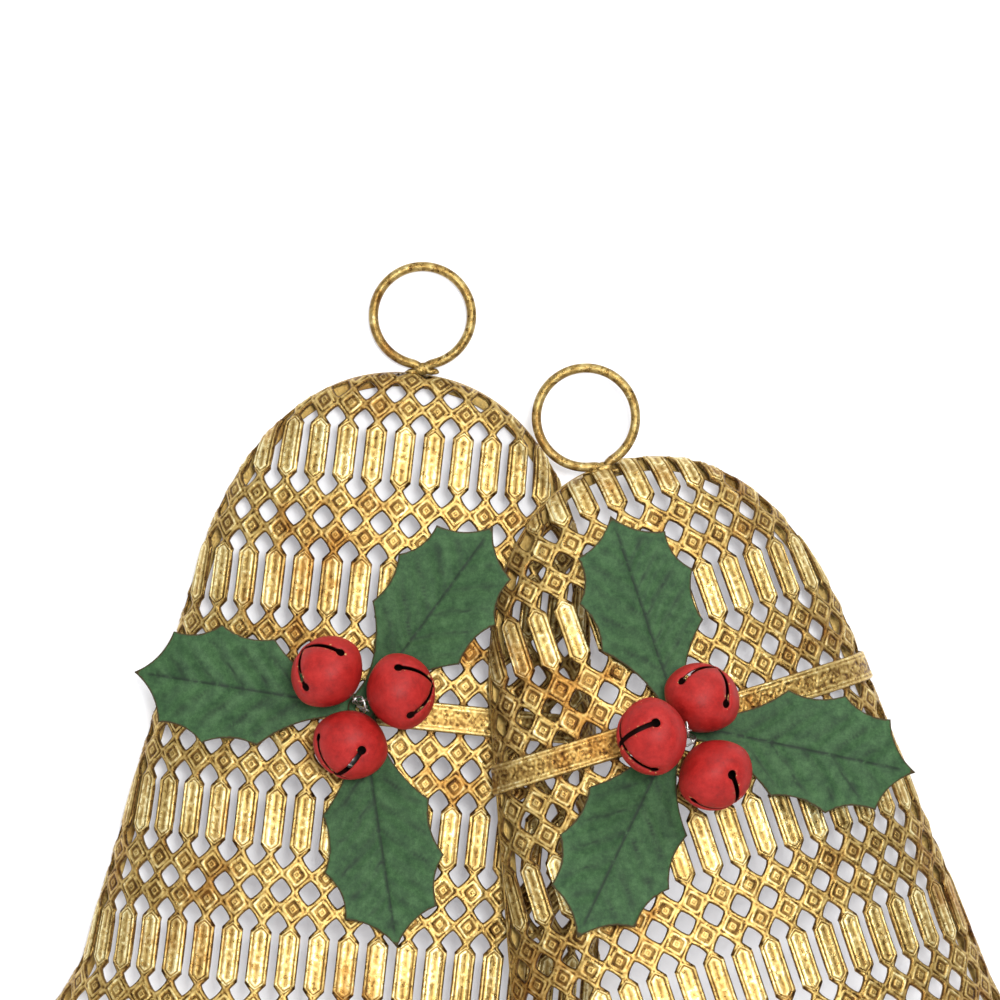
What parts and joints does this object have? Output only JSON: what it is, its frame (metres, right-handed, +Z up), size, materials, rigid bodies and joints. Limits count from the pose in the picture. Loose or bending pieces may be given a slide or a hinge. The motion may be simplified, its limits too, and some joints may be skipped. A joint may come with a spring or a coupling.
{
  "type": "christmas bell ornament",
  "caption": "Wall ornament of two overlapping openwork half-relief bells in antiqued gold, with holly leaves and clusters of red jingle bells.",
  "frame": {"origin": "where a hook or nail bears on the left ring: the middle of the ring's inner top facet", "axes": "+Z up, +X to the right as the ornament is seen from the front, front towards -Y, back towards the wall at +Y"},
  "size_m": [0.359, 0.091, 0.3158],
  "materials": {
    "antique_gold": "antiqued, brushed speckle",
    "dark_gold": "antiqued, dull",
    "holly_green": "matt paint, worn edges",
    "jingle_red": "satin paint, worn edges",
    "bright_wire": "bright wire"
  },
  "bodies": {
    "ornament": {"left_shell": "antique_gold", "left_rim_strip": "dark_gold", "left_waist_band": "antique_gold", "left_mouth_band": "antique_gold", "left_ring": "antique_gold", "left_leaf_upper": "holly_green", "left_leaf_side": "holly_green", "left_leaf_lower": "holly_green", "left_cluster_wire": "bright_wire", "left_clapper_eye": "dark_gold", "right_shell": "antique_gold", "right_rim_strip": "dark_gold", "right_waist_band": "antique_gold", "right_mouth_band": "antique_gold", "right_ring": "antique_gold", "right_leaf_upper": "holly_green", "right_leaf_side": "holly_green", "right_leaf_lower": "holly_green", "right_cluster_wire": "bright_wire", "right_clapper_eye": "dark_gold"},
    "left_jingle_upper": {"left_jingle_upper": "jingle_red", "left_jingle_loop_upper": "bright_wire"},
    "left_pellet_upper": {"left_pellet_upper": "bright_wire"},
    "left_jingle_side": {"left_jingle_side": "jingle_red", "left_jingle_loop_side": "bright_wire"},
    "left_pellet_side": {"left_pellet_side": "bright_wire"},
    "left_jingle_lower": {"left_jingle_lower": "jingle_red", "left_jingle_loop_lower": "bright_wire"},
    "left_pellet_lower": {"left_pellet_lower": "bright_wire"},
    "left_clapper": {"left_clapper_wire": "dark_gold", "left_clapper_ball": "antique_gold"},
    "right_jingle_upper": {"right_jingle_upper": "jingle_red", "right_jingle_loop_upper": "bright_wire"},
    "right_pellet_upper": {"right_pellet_upper": "bright_wire"},
    "right_jingle_side": {"right_jingle_side": "jingle_red", "right_jingle_loop_side": "bright_wire"},
    "right_pellet_side": {"right_pellet_side": "bright_wire"},
    "right_jingle_lower": {"right_jingle_lower": "jingle_red", "right_jingle_loop_lower": "bright_wire"},
    "right_pellet_lower": {"right_pellet_lower": "bright_wire"},
    "right_clapper": {"right_clapper_wire": "dark_gold", "right_clapper_ball": "antique_gold"}
  },
  "joints": [
    {"name": "left_jingle_upper_turn", "type": "hinge", "parent": "ornament", "child": "left_jingle_upper", "pos_m": [-0.03063, -0.04701, -0.13761], "axis": [-0.6923, -0.2036, 0.6923], "range_deg": [-20, 20]},
    {"name": "left_pellet_upper_rattle", "type": "slide", "parent": "left_jingle_upper", "child": "left_pellet_upper", "axis": [0, 0, 1], "range_m": [0, 0.011]},
    {"name": "left_jingle_side_turn", "type": "hinge", "parent": "ornament", "child": "left_jingle_side", "pos_m": [-0.00723, -0.04841, -0.14371], "axis": [0.949, -0.2019, 0.2423], "range_deg": [-20, 20]},
    {"name": "left_pellet_side_rattle", "type": "slide", "parent": "left_jingle_side", "child": "left_pellet_side", "axis": [0, 0, 1], "range_m": [0, 0.011]},
    {"name": "left_jingle_lower_turn", "type": "hinge", "parent": "ornament", "child": "left_jingle_lower", "pos_m": [-0.02313, -0.04701, -0.16081], "axis": [-0.3695, -0.3296, -0.8688], "range_deg": [-20, 5]},
    {"name": "left_pellet_lower_rattle", "type": "slide", "parent": "left_jingle_lower", "child": "left_pellet_lower", "axis": [0, 0, 1], "range_m": [0, 0.011]},
    {"name": "left_clapper_swing", "type": "hinge", "parent": "ornament", "child": "left_clapper", "pos_m": [-0.03046, -0.03652, -0.27112], "axis": [0, 1, 0], "range_deg": [-25, 25]},
    {"name": "right_jingle_upper_turn", "type": "hinge", "parent": "ornament", "child": "right_jingle_upper", "pos_m": [0.09358, -0.06131, -0.14592], "axis": [0.4439, -0.1211, 0.8878], "range_deg": [-20, 10]},
    {"name": "right_pellet_upper_rattle", "type": "slide", "parent": "right_jingle_upper", "child": "right_pellet_upper", "axis": [0, 0, 1], "range_m": [0, 0.011]},
    {"name": "right_jingle_side_turn", "type": "hinge", "parent": "ornament", "child": "right_jingle_side", "pos_m": [0.07758, -0.07541, -0.15712], "axis": [-0.8957, -0.4275, -0.1221], "range_deg": [-5, 20]},
    {"name": "right_pellet_side_rattle", "type": "slide", "parent": "right_jingle_side", "child": "right_pellet_side", "axis": [0, 0, 1], "range_m": [0, 0.011]},
    {"name": "right_jingle_lower_turn", "type": "hinge", "parent": "ornament", "child": "right_jingle_lower", "pos_m": [0.09768, -0.06691, -0.16972], "axis": [0.5542, -0.1008, -0.8263], "range_deg": [-20, 20]},
    {"name": "right_pellet_lower_rattle", "type": "slide", "parent": "right_jingle_lower", "child": "right_pellet_lower", "axis": [0, 0, 1], "range_m": [0, 0.011]},
    {"name": "right_clapper_swing", "type": "hinge", "parent": "ornament", "child": "right_clapper", "pos_m": [0.12739, -0.05898, -0.28072], "axis": [0, 1, 0], "range_deg": [-25, 25]}
  ]
}
